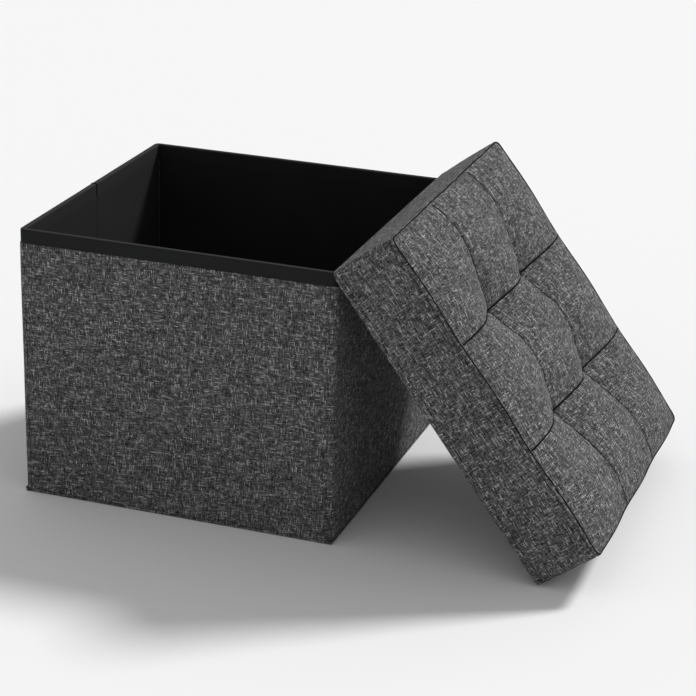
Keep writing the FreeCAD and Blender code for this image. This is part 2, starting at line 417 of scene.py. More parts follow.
def fibreboard():
    mat, tree, bsdf = node_kit("fibreboard")
    k = Kit(tree)
    coords = k.place()
    chips = k.noise(coords, 900.0, 4, 0.75)
    flow = k.noise(coords, 45.0, 3)
    value = k.math("ADD", k.math("MULTIPLY", chips, 0.75), k.math("MULTIPLY", flow, 0.25))
    stops = [(0.3, (0.20, 0.125, 0.07)), (0.55, (0.36, 0.24, 0.145)), (0.8, (0.50, 0.37, 0.24))]
    tree.links.new(k.ramp(value, stops), bsdf.inputs["Base Color"])
    bsdf.inputs["Roughness"].default_value = 0.78
    tree.links.new(k.bump(chips, 0.12 * MM, 0.5), bsdf.inputs["Normal"])
    return mat


def washer_plastic():
    mat, tree, bsdf = node_kit("washer_plastic")
    k = Kit(tree)
    coords = k.place()
    grain = k.noise(coords, 1500.0, 2)
    tree.links.new(
        k.ramp(grain, [(0.3, (0.035, 0.035, 0.037)), (0.7, (0.065, 0.065, 0.068))]),
        bsdf.inputs["Base Color"],
    )
    bsdf.inputs["Roughness"].default_value = 0.52
    tree.links.new(k.bump(grain, 0.03 * MM, 0.4), bsdf.inputs["Normal"])
    return mat


def twisted_thread(name, dark, light):
    """Sewing thread: a fine twist along the piece."""
    mat, tree, bsdf = node_kit(name)
    k = Kit(tree)
    coords = k.place()
    twist = k.noise(coords, 2600.0, 2)
    tree.links.new(k.ramp(twist, [(0.35, dark), (0.65, light)]), bsdf.inputs["Base Color"])
    bsdf.inputs["Roughness"].default_value = 0.85
    bsdf.inputs["Specular IOR Level"].default_value = 0.08
    return mat


LINEN = linen()
LINING = soft_black("black_lining", (0.0060, 0.0060, 0.0066), 0.88, 0.03, 0.9 * MM, 0.15 * MM)
BINDING = soft_black("rim_binding", (0.0056, 0.0060, 0.0066), 0.80, 0.05, 0.6 * MM, 0.10 * MM)
BASE_CLOTH = soft_black("base_cloth", (0.012, 0.012, 0.013), 0.85, 0.04, 1.4 * MM, 0.25 * MM)
BOARD_MAT = fibreboard()
WASHER_MAT = washer_plastic()
# nearly black thread: real stitches in the stitch rows, and partly painted shade where it runs along the
# seams' grooves
DARK_THREAD_AND_SEAM_SHADE = twisted_thread("seam_thread", (0.002, 0.002, 0.002), (0.008, 0.008, 0.008))
CORD_MAT = twisted_thread("tuft_cord", (0.015, 0.015, 0.016), (0.05, 0.05, 0.052))


# ---------------------------------------------------------------- the box's cover
SEAM_GROOVE = 1.2 * MM
EDGE_ROUND = 1.2 * MM
CREASE_HALF = 1.2 * MM  # half the width that bends at a crease
CREASE_TUCK = 1.3 * MM  # how near to a crease the cloth is tucked thin


def shell_profile(r_in, r_out, z0, z1, round_top, round_bottom):
    """Closed outline of a thin upright shell: up the outside, over, down the inside, and back."""
    pts = []
    for i in range(4):  # bottom outer edge
        a = math.radians(-90 + 30 * i)
        r, z = r_out - round_bottom, z0 + round_bottom
        pts.append((r + round_bottom * math.cos(a), z + round_bottom * math.sin(a)))
    rows = max(2, int((z1 - z0) / (6 * MM)))
    lo, hi = z0 + round_bottom, z1 - round_top
    pts += [(r_out, lo + (hi - lo) * i / rows) for i in range(1, rows)]
    for i in range(4):  # top outer edge
        a = math.radians(30 * i)
        pts.append((r_out - round_top + round_top * math.cos(a), hi + round_top * math.sin(a)))
    pts.append((r_in, z1))
    pts.append((r_in, z0))
    return pts


def tuck(s, r, crease, outside, thin):
    """At a crease only a thin hinge of cloth is left, near the outside, between the boards' ends."""
    away = abs(s - crease)
    if away > CREASE_TUCK:
        return 0.0
    return max(r, outside - thin) - r


def side_wave(seed, seams, crease=None):
    """How a stretched cover leaves its flat plane: faint swells, sewn grooves and a crease."""

    def shift(s, r, z):
        out = 0.0
        outer = (r - BOARD_OUT) / (WALL - BOARD_OUT)
        if outer < 0.9:
            return 0.0 if crease is None else tuck(s, r, crease, WALL, 1.0 * MM)
        out += outer * 0.30 * MM * wave(s, z, seed, 0.09)
        out += outer * 0.12 * MM * wave(s, z, seed + 5, 0.025)
        for place in seams:
            out -= outer * SEAM_GROOVE * bell(s - place, 0.8 * MM)
        if crease is not None:
            out -= outer * 0.8 * MM * bell(s - crease, 2.0 * MM)
        return out

    return shift


def cover_pieces():
    """Five lengths of one continuous cover, each reaching across one hinge; it is open at the left rear.
    """
    x, y = HINGE_X, HINGE_Y
    mid = HINGE_Y / 2  # where the side pieces meet, half way between corner and crease
    step = 7 * MM
    turn = WALL * math.pi / 2
    profile_front = shell_profile(BOARD_OUT, WALL, BASE_TOP, RIM_BOTTOM, EDGE_ROUND, 0.3 * MM)
    profile_side = shell_profile(BOARD_OUT, WALL, WALL_BOTTOM, RIM_BOTTOM, EDGE_ROUND, EDGE_ROUND)

    def run(x0, y0, x1, y1, fine=()):
        return straight(x0, y0, x1, y1, step, fine=fine)

    def bend(cx, cy, a0):
        return corner(cx, cy, a0, a0 + 90, 9, 0.0, WALL)

    spans = {
        "front_right": chain(run(0, -y, x, -y, [x - 0.001]), bend(x, -y, -90), run(x, -y, x, -mid)),
        "right": run(x, -mid, x, mid, [mid]),
        "back_right": chain(run(x, mid, x, y), bend(x, y, 0), run(x, y, -x, y, [0.001])),
        "left": chain(run(-x, mid, -x, -mid, [mid])),
        "front_left": chain(run(-x, -mid, -x, -y), bend(-x, -y, 180), run(-x, -y, 0, -y, [0.001])),
    }
    # the left piece starts with the round left rear corner
    spans["left"] = chain(corner(-x, y, 90, 180, 9, 0.0, WALL), run(-x, y, -x, -mid, [y]))
    seam_at = {
        "front_right": ([x], None),
        "right": ([], mid),
        "back_right": ([y - mid + turn], None),
        "left": ([], y + turn),
        "front_left": ([y - mid + turn], None),
    }
    made = {}
    for i, (name, path) in enumerate(spans.items()):
        seams, crease = seam_at[name]
        profile = profile_front if name.startswith("front") else profile_side
        made[name] = sweep(
            "cover_" + name, path, profile, LINEN, shift=side_wave(i * 3.7, seams, crease), u0=i * 0.61
        )
    return made


def blend_all(pieces, r_out):
    """Bake each length's placement into its mesh; the two panels that it joins are listed but not used."""
    x, y, r, c = HINGE_X, HINGE_Y, r_out, CREASE_HALF
    joins = {
        "front_right": ("front_and_base", "right_front", (x, -y - r, 0), (x + r, -y, 0)),
        "front_left": ("front_and_base", "left_front", (-x, -y - r, 0), (-x - r, -y, 0)),
        "back_right": ("right_rear", "back", (x + r, y, 0), (x, y + r, 0)),
        "right": ("right_front", "right_rear", (x, -c, 0), (x, c, 0)),
        "left": ("left_front", "left_rear", (-x, -c, 0), (-x, c, 0)),
    }
    for name, (a, b, start, end) in joins.items():
        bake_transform(pieces[name])


def stand_for(kind):
    """Each length replaces the CAD nodes of its kind whose panels it covers."""
    panels = {
        "front_right": ("front", "right_front"),
        "right": ("right_rear",),
        "back_right": ("back",),
        "left": ("left_rear",),
        "front_left": ("left_front",),
    }
    for name, owners in panels.items():
        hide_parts(*[owner + kind for owner in owners])


def build_covers():
    made = cover_pieces()
    blend_all(made, WALL)
    stand_for("_cover")


# ---------------------------------------------------------------- the rim's binding band
def band_profile():
    """A U over the top of the wall, with a full round top and soft lower edges."""
    r0, r1 = BAND_IN, BAND_OUT
    z0, z1 = RIM_BOTTOM - 0.5 * MM, RIM_TOP
    skin = 0.7 * MM
    rnd = 1.8 * MM
    pts = [(r1 - skin, z0), (r1, z0 + 0.3 * MM)]
    pts += [(r1, z0 + (z1 - rnd - z0) * t) for t in (0.25, 0.5, 0.75)]
    for i in range(6):
        a = math.radians(18 * i)
        pts.append((r1 - rnd + rnd * math.cos(a), z1 - rnd + rnd * math.sin(a)))
    for i in range(6):
        a = math.radians(90 + 18 * i)
        pts.append((r0 + rnd + rnd * math.cos(a), z1 - rnd + rnd * math.sin(a)))
    pts += [(r0, z0 + (z1 - rnd - z0) * t) for t in (0.75, 0.5, 0.25)]
    pts += [(r0, z0 + 0.3 * MM), (r0 + skin, z0)]
    top = z1 - rnd - 0.3 * MM
    pts += [(r0 + skin, top), (r1 - skin, top)]
    return pts


def band_wave(seed, crease=None):
    def shift(s, r, z):
        if crease is not None and abs(s - crease) < CREASE_TUCK:
            flat = BAND_OUT - 0.5 * MM * (BAND_OUT - r) / (BAND_OUT - BAND_IN)
            return flat - r
        if z < RIM_BOTTOM:
            return 0.0
        side = 1.0 if r > (BAND_IN + BAND_OUT) / 2 else -1.0
        return side * (0.18 * MM * wave(s, z, seed, 0.05) - 0.1 * MM)

    return shift


def build_band():
    x, y = HINGE_X, HINGE_Y
    mid = HINGE_Y / 2
    step = 8 * MM

    def run(x0, y0, x1, y1):
        return straight(x0, y0, x1, y1, step)

    spans = {
        "front_right": chain(run(0, -y, x, -y), corner(x, -y, -90, 0, 9, 0, WALL), run(x, -y, x, -mid)),
        "right": straight(x, -mid, x, mid, step, fine=[mid]),
        "back_right": chain(run(x, mid, x, y), corner(x, y, 0, 90, 9, 0, WALL), run(x, y, -x, y)),
        "left": chain(corner(-x, y, 90, 180, 9, 0, WALL), straight(-x, y, -x, -mid, step, fine=[y])),
        "front_left": chain(
            run(-x, -mid, -x, -y), corner(-x, -y, 180, 270, 9, 0, WALL), run(-x, -y, 0, -y)
        ),
    }
    creases = {"right": mid, "left": y + WALL * math.pi / 2}
    made = {}
    for i, (name, path) in enumerate(spans.items()):
        crease = creases.get(name)
        made[name] = sweep("band_" + name, path, band_profile(), BINDING, shift=band_wave(i * 2.9, crease))
    blend_all(made, BAND_OUT)
    stand_for("_rim_band")


# ---------------------------------------------------------------- linings inside the box
def build_linings():
    """A loose black lining on each panel; the side halves part at the crease."""
    x, y, t = HINGE_X, HINGE_Y, high("right_front_lining").x - HINGE_X
    z0, z1 = WALL_BOTTOM, RIM_BOTTOM
    ends = {
        "front": (x - 0.3 * MM, -y, -x + 0.3 * MM, -y, "front_and_base"),
        "back": (-x + 0.3 * MM, y, x - 0.3 * MM, y, "back"),
        "right_front": (x, -CREASE_GAP * 0.2, x, -y + 0.3 * MM, "right_front"),
        "right_rear": (x, y - 0.3 * MM, x, CREASE_GAP * 0.2, "right_rear"),
        "left_front": (-x, -y + 0.3 * MM, -x, -CREASE_GAP * 0.2, "left_front"),
        "left_rear": (-x, CREASE_GAP * 0.2, -x, y - 0.3 * MM, "left_rear"),
    }
    for i, (name, (x0, y0, x1, y1, body)) in enumerate(ends.items()):
        path = straight(x0, y0, x1, y1, 8 * MM)
        length = path[-1][4]

        def shift(s, r, z, seed=i * 4.1, length=length):
            if r < 0:
                return 0.0
            edge = min(s, length - s, z1 - z, z - z0) / (12 * MM)
            swell = 0.30 * MM * wave(s, z * 0.5, seed, 0.045) + 0.18 * MM * wave(s, z, seed + 2, 0.016)
            return min(1.0, max(0.0, edge)) * (swell - 0.1 * MM)

        profile = [(-t + 0.1 * MM, z0)]
        rows = 40
        profile += [(0.0, z0 + (z1 - z0) * j / rows) for j in range(rows + 1)]
        profile += [(-t + 0.1 * MM, z1)]
        piece = sweep("lining_" + name, path, profile, LINING, shift=shift)
        belong(piece, "black_lining", body, name + "_lining")


# ---------------------------------------------------------------- the base
def slab(name, hx, hy, z0, z1, rnd, material):
    """A flat panel with a round edge."""
    cells = 60
    rows = []
    for i in range(5):
        a = math.radians(-90 + 45 * i)
        rows.append((rnd * math.cos(a) - rnd, (z0 + z1) / 2 + (z1 - z0) / 2 * math.sin(a)))
    xs = np.linspace(-hx + rnd, hx - rnd, cells + 1)
    ys = np.linspace(-hy + rnd, hy - rnd, cells + 1)
    verts, faces, uvs = [], [], []
    grid = {}
    for top in (0, 1):
        z = z1 if top else z0
        for i, x in enumerate(xs):
            for j, y in enumerate(ys):
                grid[top, i, j] = len(verts)
                verts.append((x, y, z))
        for i in range(cells):
            for j in range(cells):
                quad = [grid[top, i, j], grid[top, i + 1, j], grid[top, i + 1, j + 1], grid[top, i, j + 1]]
                quad = quad if top else quad[::-1]
                faces.append(tuple(quad))
                uvs += [(verts[v][0], verts[v][1]) for v in quad]
    border = [(i, 0) for i in range(cells)] + [(cells, j) for j in range(cells)]
    border += [(i, cells) for i in range(cells, 0, -1)] + [(0, j) for j in range(cells, 0, -1)]
    ring_of = []
    for i, j in border:
        x, y = xs[i], ys[j]
        nx = (i == cells) - (i == 0)
        ny = (j == cells) - (j == 0)
        length = math.hypot(nx, ny)
        ring = [grid[0, i, j]]
        for r, z in rows[1:-1]:
            ring.append(len(verts))
            verts.append((x + nx / length * (r + rnd), y + ny / length * (r + rnd), z))
        ring.append(grid[1, i, j])
        ring_of.append(ring)
    for a in range(len(ring_of)):
        b = (a + 1) % len(ring_of)
        for q in range(len(ring_of[a]) - 1):
            quad = (ring_of[a][q], ring_of[b][q], ring_of[b][q + 1], ring_of[a][q + 1])
            faces.append(quad)
            uvs += [(verts[v][0] + verts[v][1], verts[v][2]) for v in quad]
    return mesh_from(name, verts, faces, uvs, material)


def build_base():
    """The base board, wrapped underneath and round its edge, with a lining over it."""
    under_top, board_top = low("base_board").z, high("base_board").z
    hx, hy = BASE_X + BASE_SKIN, BASE_Y + BASE_SKIN
    lining = slab("base_lining_sheet", hx, hy, board_top, BASE_TOP, 0.25 * MM, LINING)
    belong(lining, "black_lining", "front_and_base", "base_lining")
    under = slab("base_under_cloth", BASE_X, BASE_Y, 0.0, under_top, 0.2 * MM, BASE_CLOTH)
    belong(under, "base_cloth", "front_and_base", "base_cover")
    path = rounded_path(BASE_X, BASE_Y, 1.0 * MM, 8 * MM)
    edge = [(-0.4 * MM, 0.05 * MM), (0.35 * MM, 0.1 * MM), (BASE_SKIN, 0.7 * MM)]
    edge += [(BASE_SKIN, board_top - 0.3 * MM), (0.5 * BASE_SKIN, board_top)]
    edge += [(0.0, board_top), (0.0, 0.3 * MM)]
    wrap = sweep("base_edge_wrap", path, edge, LINEN, closed_path=True)
    belong(wrap, "linen_cover", "front_and_base")


# ---------------------------------------------------------------- the lid
def rounded_path(hx, hy, radius, step):
    """A closed rounded rectangle, counter-clockwise, for sweep: the profile's r = 0 is the outline."""
    x, y = hx - radius, hy - radius
    runs = [
        straight(-x, -hy, x, -hy, step),
        arc(x, -y, -90, radius),
        straight(hx, -y, hx, y, step),
        arc(x, y, 0, radius),
        straight(x, hy, -x, hy, step),
        arc(-x, y, 90, radius),
        straight(-hx, y, -hx, -y, step),
        arc(-x, -y, 180, radius),
    ]
    return chain(*runs)[:-1]


def arc(cx, cy, a0, radius):
    count = 8
    out = []
    for i in range(count + 1):
        a = math.radians(a0 + 90 * i / count)
        nx, ny = math.cos(a), math.sin(a)
        out.append((cx + radius * nx, cy + radius * ny, nx, ny, radius * math.radians(90 * i / count)))
    return out


def put_on_lid(obj, slot_name, *nodes):
    """Carry a piece made in the lid's own frame to where the lid leans."""
    obj.data.transform(LID)
    belong(obj, slot_name, "lid", *nodes)
    return obj


TOPSTITCH = 4.6 * MM  # below the top seam
HEMSTITCH = 7.5 * MM  # above the open edge
STITCH_LENGTH, STITCH_GAP = 2.6 * MM, 0.9 * MM
TUFT_X, TUFT_Y = LID_X / 3, LID_Y / 3
TUCK = 1.8 * MM  # how far in the top seam lies


def scallop(x, y):
    """The top seam is drawn down at the ends of the quilting seams and lifts between them."""
    if LID_X - abs(x) < LID_Y - abs(y):
        return 1.3 * MM * math.cos(math.pi * y / TUFT_Y)
    return 0.9 * MM * math.cos(math.pi * x / TUFT_X)


def boxing_profile():
    """Outline of the boxing strip: outside from hem to seam, then turned over and down the inside."""
    pts = [(-LID_WALL + 1.2 * MM, 1.0 * MM), (-LID_WALL + 1.2 * MM, 0.0), (-1.2 * MM, 0.0)]
    pts += [(-0.35 * MM, 0.35 * MM), (0.0, 1.2 * MM)]
    marks = [3, 5, HEMSTITCH / MM - 0.8, HEMSTITCH / MM, HEMSTITCH / MM + 0.8, 10]
    marks += list(np.linspace(14, SEAM / MM - 8, 12))
    marks += [SEAM / MM - 6.2, SEAM / MM - 5.3, SEAM / MM - 4.6, SEAM / MM - 3.9, SEAM / MM - 3.0]
    marks += [SEAM / MM - 2.2, SEAM / MM - 1.5]
    pts += [(0.0, m * MM) for m in marks]
    pts += [(-0.10 * MM, SEAM - 1.0 * MM), (-0.45 * MM, SEAM - 0.4 * MM), (-1.0 * MM, SEAM - 0.2 * MM)]
    pts += [(-TUCK, SEAM - 0.8 * MM)]
    pts += [(-TUCK, SEAM - 4 * MM), (-TUCK, 1.0 * MM)]
    return pts


def boxing_wave(s, r, z):
    if r < -TUCK + 0.1 * MM:
        return 0.0
    out = 0.25 * MM * wave(s, z, 11.0, 0.07) + 0.10 * MM * wave(s, z, 2.0, 0.02) - 0.1 * MM
    out -= 1.1 * MM * bell(z - (SEAM - TOPSTITCH), 0.9 * MM)
    out -= 0.8 * MM * bell(z - HEMSTITCH, 0.8 * MM)
    out += 0.5 * MM * bell(z - SEAM * 0.5, SEAM * 0.35)
    return out * min(1.0, z / (2 * MM))


def build_boxing():
    path = rounded_path(LID_X, LID_Y, LID_CORNER, 7 * MM)
    piece = sweep("lid_boxing", path, boxing_profile(), LINEN, closed_path=True, shift=boxing_wave, u0=0.2)
    for v in piece.data.vertices:
        if v.co.z > SEAM * 0.5:
            lift = ((v.co.z - SEAM * 0.5) / (SEAM * 0.5)) ** 2
            v.co.z += lift * scallop(v.co.x, v.co.y)
    sides = ("front", "rear", "upper", "lower")
    put_on_lid(piece, "linen_cover", *["lid_%s_cover" % s for s in sides])
    return piece


# the tufted cushion
TUFT_LOW = -13.0 * MM  # the tufts, from the top seam's level
CREST_OUT, CREST_IN = 8.5 * MM, 5.0 * MM  # the quilting seams' crests, outside and between the tufts
CREST_AT = 0.65  # where the outer crest lies, on the way from a tuft to the edge
SWELL = 7.5  # how strongly the filling lifts the cover between its seams, per metre
PUFF = 2.8 * MM  # the most that the stuffed cells rise above that
SAG = 7.0 * MM  # how far each cell's filling slumps down the leaning lid
SPILL = 5.0 * MM  # how far the lowest cells hang over the lid's low edge


def line_height(t, half, tuft):
    """Height of a quilting seam at a place t along it: sharp at its tufts, round over the edge."""
    t = abs(t)
    crest = tuft + CREST_AT * (half - tuft)
    if t > crest:
        return CREST_OUT * (1 - ((t - crest) / (half - crest)) ** 2)
    if t > tuft:
        rise, top = math.sin(math.pi / 2 * (t - tuft) / (crest - tuft)), CREST_OUT
    else:
        rise, top = math.sin(math.pi / 2 * (tuft - t) / tuft), CREST_IN
    return TUFT_LOW + (top - TUFT_LOW) * (0.7 * rise + 0.3 * rise * rise)


def tuft_pull(x, y):
    """Distance to the nearest tuft."""
    return min(math.hypot(abs(x) - TUFT_X, abs(y) - TUFT_Y), 1.0)


def to_round(x, y, hx, hy, radius):
    """Map a point of the full rectangle into one with round corners."""
    dx, dy = abs(x) - (hx - radius), abs(y) - (hy - radius)
    if dx <= 0 or dy <= 0:
        return x, y
    a, b = dx / radius, dy / radius
    nx = a * math.sqrt(1 - b * b / 2) * radius + hx - radius
    ny = b * math.sqrt(1 - a * a / 2) * radius + hy - radius
    return math.copysign(nx, x), math.copysign(ny, y)


def cover_heights(xs, ys):
    """The stretched cover, from the top seam's level: held at its border and seams, lifted between."""
    nx, ny = len(xs), len(ys)
    h, held = np.zeros((nx, ny)), np.zeros((nx, ny), bool)
    for i, x in enumerate(xs):
        for j, y in enumerate(ys):
            on_x, on_y = abs(abs(x) - TUFT_X) < 1e-6, abs(abs(y) - TUFT_Y) < 1e-6
            if i in (0, nx - 1) or j in (0, ny - 1):
                h[i, j], held[i, j] = scallop(x, y), True
            elif on_x:
                h[i, j], held[i, j] = line_height(y, LID_Y, TUFT_Y), True
            elif on_y:
                h[i, j], held[i, j] = line_height(x, LID_X, TUFT_X), True
    push = SWELL * (xs[1] - xs[0]) * (ys[1] - ys[0]) / 4
    free = ~held[1:-1, 1:-1]
    for _ in range(2500):
        mean = (h[:-2, 1:-1] + h[2:, 1:-1] + h[1:-1, :-2] + h[1:-1, 2:]) / 4 + push
        h[1:-1, 1:-1] = np.where(free, mean, h[1:-1, 1:-1])
    return h, held


def cushion_grid():
    """Places of the cloth's rows and columns, symmetric, with one row on each seam."""
    def lines(half, seam):
        inner = np.linspace(0, seam, 16)
        outer = np.linspace(seam, half, 31)
        side = np.concatenate([inner, outer[1:]])
        return np.concatenate([-side[:0:-1], side])

    return lines(LID_X, TUFT_X), lines(LID_Y, TUFT_Y)


def stuff_cushion(xs, ys):
    """Blow the cover up from inside, held at its border, its seams and its tufts."""
    nx, ny = len(xs), len(ys)
    heights, held = cover_heights(xs, ys)
    verts = []
    for i, x in enumerate(xs):
        for j, y in enumerate(ys):
            px, py = to_round(x, y, LID_X, LID_Y, LID_CORNER)
            h = heights[i, j]
            slump = SPILL * (1 - math.exp(-max(h, 0.0) / (4 * MM))) * math.exp(-(LID_X - x) / (28 * MM))
            in_cell = abs(math.sin(math.pi / 2 * (x / TUFT_X + 1)))
            slump += SAG * in_cell * math.cos(math.pi / 2 * y / TUFT_Y) ** 2
            verts.append((px * (1 - TUCK / LID_X) + slump, py * (1 - TUCK / LID_Y), SEAM + h))
    index = lambda i, j: i * ny + j
    faces = [
        (index(i, j), index(i + 1, j), index(i + 1, j + 1), index(i, j + 1))
        for i in range(nx - 1)
        for j in range(ny - 1)
    ]
    rest = np.array(verts)
    obj = mesh_from("cushion_cloth", verts, faces)
    pins = obj.vertex_groups.new(name="pins")
    pins.add([index(i, j) for i in range(nx) for j in range(ny) if held[i, j]], 1.0, "REPLACE")
    cloth = obj.modifiers.new("cloth", "CLOTH")
    cfg = cloth.settings
    cfg.quality = 6
    cfg.mass = 0.25
    cfg.tension_stiffness = 12
    cfg.compression_stiffness = 6
    cfg.shear_stiffness = 4
    cfg.bending_stiffness = 0.4
    cfg.shrink_min = -0.012
    cfg.use_pressure = True
    cfg.uniform_pressure_force = 4.0
    cfg.vertex_group_mass = "pins"
    cfg.effector_weights.gravity = 0.0
    cfg.air_damping = 4
    scene = bpy.context.scene
    for f in range(1, 25):
        scene.frame_set(f)
    graph = bpy.context.evaluated_depsgraph_get()
    shaped = obj.evaluated_get(graph)
    co = np.array([v.co for v in shaped.data.vertices])
    bpy.data.objects.remove(obj)
    scene.frame_set(1)
    moved = co - rest
    far = np.linalg.norm(moved, axis=1)
    scale = PUFF * np.tanh(far / PUFF) / np.maximum(far, 1e-9)
    return (rest + moved * scale[:, None]).reshape(nx, ny, 3)


def cubic(places, targets):
    """Weights that read a smooth curve at targets from values at places."""
    n = len(places)
    out = np.zeros((len(targets), n))
    for row, t in enumerate(targets):
        i = min(max(int(np.searchsorted(places, t)) - 1, 0), n - 2)
        h = places[i + 1] - places[i]
        f = (t - places[i]) / h
        h00, h10 = 2 * f**3 - 3 * f**2 + 1, f**3 - 2 * f**2 + f
        h01, h11 = -2 * f**3 + 3 * f**2, f**3 - f**2
        out[row, i] += h00
        out[row, i + 1] += h01
        for node, weight in ((i, h10), (i + 1, h11)):
            a, b = max(node - 1, 0), min(node + 1, n - 1)
            gap = places[b] - places[a]
            out[row, b] += weight * h / gap
            out[row, a] -= weight * h / gap
    return out


def fine_lines(half, seam):
    """Finer rows and columns, close together beside each seam."""
    marks = set(np.round(np.linspace(-half, half, 150), 6))
    for s in (-seam, seam):
        marks = {m for m in marks if abs(m - s) > 3.2 * MM}
        marks |= {round(s + d * MM, 6) for d in (-3, -2.1, -1.4, -0.8, -0.35, 0, 0.35, 0.8, 1.4, 2.1, 3)}
    return np.array(sorted(marks))


def build_cushion():
    xs, ys = cushion_grid()
    grid = stuff_cushion(xs, ys)
    fx, fy = fine_lines(LID_X, TUFT_X), fine_lines(LID_Y, TUFT_Y)
    wx, wy = cubic(xs, fx), cubic(ys, fy)
    fine = np.einsum("ai,ijk,bj->abk", wx, grid, wy)
    du = np.gradient(fine, axis=0)
    dv = np.gradient(fine, axis=1)
    normal = np.cross(du, dv)
    normal /= np.maximum(np.linalg.norm(normal, axis=2, keepdims=True), 1e-12)
    nx, ny = len(fx), len(fy)
    smooth = fine.copy()
    for i, x in enumerate(fx):
        for j, y in enumerate(fy):
            edge = min(LID_X - abs(x), LID_Y - abs(y))
            fade = min(1.0, edge / (5 * MM))
            d = min(min(abs(x - s * TUFT_X) for s in (-1, 1)), min(abs(y - s * TUFT_Y) for s in (-1, 1)))
            near = tuft_pull(x, y)
            groove = 2.2 * MM * bell(d, 0.8 * MM) + 2.5 * MM * bell(near, 3.5 * MM)
            ripple = 0.35 * MM * wave(x, y, 4.0, 0.035) + 0.15 * MM * wave(x, y, 9.0, 0.012)
            fine[i, j] += normal[i, j] * fade * (ripple - groove)
    verts = [tuple(p) for p in fine.reshape(-1, 3)]
    index = lambda i, j: i * ny + j
    faces, uvs = [], []
    for i in range(nx - 1):
        for j in range(ny - 1):
            quad = (index(i, j), index(i + 1, j), index(i + 1, j + 1), index(i, j + 1))
            faces.append(quad)
            uvs += [(fx[a], fy[b]) for a, b in ((i, j), (i + 1, j), (i + 1, j + 1), (i, j + 1))]
    border = [index(i, 0) for i in range(nx - 1)] + [index(nx - 1, j) for j in range(ny - 1)]
    border += [index(i, ny - 1) for i in range(nx - 1, 0, -1)]
    border += [index(0, j) for j in range(ny - 1, 0, -1)]
    # the block under the cover: in over the skirt boards, down to the lid board, and closed below
    steps = [(0.4 * MM, SEAM - 4.5 * MM), (SKIRT_IN, SEAM - 5.0 * MM)]
    steps.append((SKIRT_IN, LID_BOARD_TOP + 0.3 * MM))
    ring = border
    for inset, level in steps:
        lower = []
        for v in border:
            x, y, _ = verts[v]
            lower.append(len(verts))
            verts.append((x * (1 - inset / LID_X), y * (1 - inset / LID_Y), level))
        for a in range(len(border)):
            b = (a + 1) % len(border)
            quad = (ring[b], ring[a], lower[a], lower[b])
            faces.append(quad)
            uvs += [(verts[v][0], verts[v][1] + verts[v][2]) for v in quad]
        ring = lower
    faces.append(tuple(ring[::-1]))
    uvs += [(verts[v][0], verts[v][1]) for v in ring[::-1]]
    piece = mesh_from("lid_cushion", verts, faces, uvs, LINEN, sharp=60)
    put_on_lid(piece, "linen_cover", "lid_top_cover", "lid_foam")
    # the sewing at the bottom of each quilting seam: a nearly black thread, partly real stitching and
    # partly painted shade that stands for the seam's shadow line
    runs = [smooth[int(np.argmin(abs(fx - s * TUFT_X))), 1:-1] for s in (-1, 1)]
    runs += [smooth[1:-1, int(np.argmin(abs(fy - s * TUFT_Y)))] for s in (-1, 1)]
    for i, run in enumerate(runs):
        line = [(x, y, z - (0.50 + 1.6 * bell(tuft_pull(x, y), 3 * MM)) * MM) for x, y, z in run]
        put_on_lid(tube("quilting_thread_%d" % i, line, 0.75 * MM, DARK_THREAD_AND_SEAM_SHADE), "linen_cover")
    ground = min(z for _, _, z in runs[0]) - 3.0 * MM
    return ground


def tube(name, points, radius, material, closed=False, sides=6):
    """A round thread along a run of points."""
    pts = [Vector(p) for p in points]
    n = len(pts)
    verts, faces = [], []
    for i, p in enumerate(pts):
        a = pts[(i - 1) % n] if closed or i else p
        b = pts[(i + 1) % n] if closed or i < n - 1 else p
        ahead = (b - a).normalized()
        side = ahead.cross(Vector((0, 0, 1)))
        side = side.normalized() if side.length > 0.1 else Vector((1, 0, 0))
        up = side.cross(ahead)
        for w in range(sides):
            t = 2 * math.pi * w / sides
            verts.append(p + side * (radius * math.cos(t)) + up * (radius * math.sin(t)))
    for i in range(n if closed else n - 1):
        j = (i + 1) % n
        for w in range(sides):
            e = (w + 1) % sides
            faces.append((i * sides + w, i * sides + e, j * sides + e, j * sides + w))
    if not closed:
        faces.append(tuple(range(sides)))
        faces.append(tuple((n - 1) * sides + w for w in range(sides))[::-1])
    return mesh_from(name, verts, faces, None, material, sharp=80)


def build_cords(ground):
    """Each tuft's cord: from its washer up through the foam to the stitch that holds the cover down."""
    washer = min(lid_heights("tuft_washers"))
    for i, (sx, sy) in enumerate(((-1, -1), (1, -1), (1, 1), (-1, 1))):
        x, y = sx * TUFT_X, sy * TUFT_Y
        line = [(x, y, washer + 0.2 * MM + (ground - washer) * t) for t in np.linspace(0, 1, 12)]
        piece = put_on_lid(tube("tuft_cord_%d" % i, line, 1.0 * MM, CORD_MAT, sides=8), "tuft_cord")
        if i == 0:
            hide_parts("tuft_cords")
        knot = [(x + d * MM, y, ground + h * MM) for d, h in ((-2.2, 0.5), (0, 1.1), (2.2, 0.5))]
        put_on_lid(tube("tuft_stitch_%d" % i, knot, 0.7 * MM, CORD_MAT), "tuft_cord")


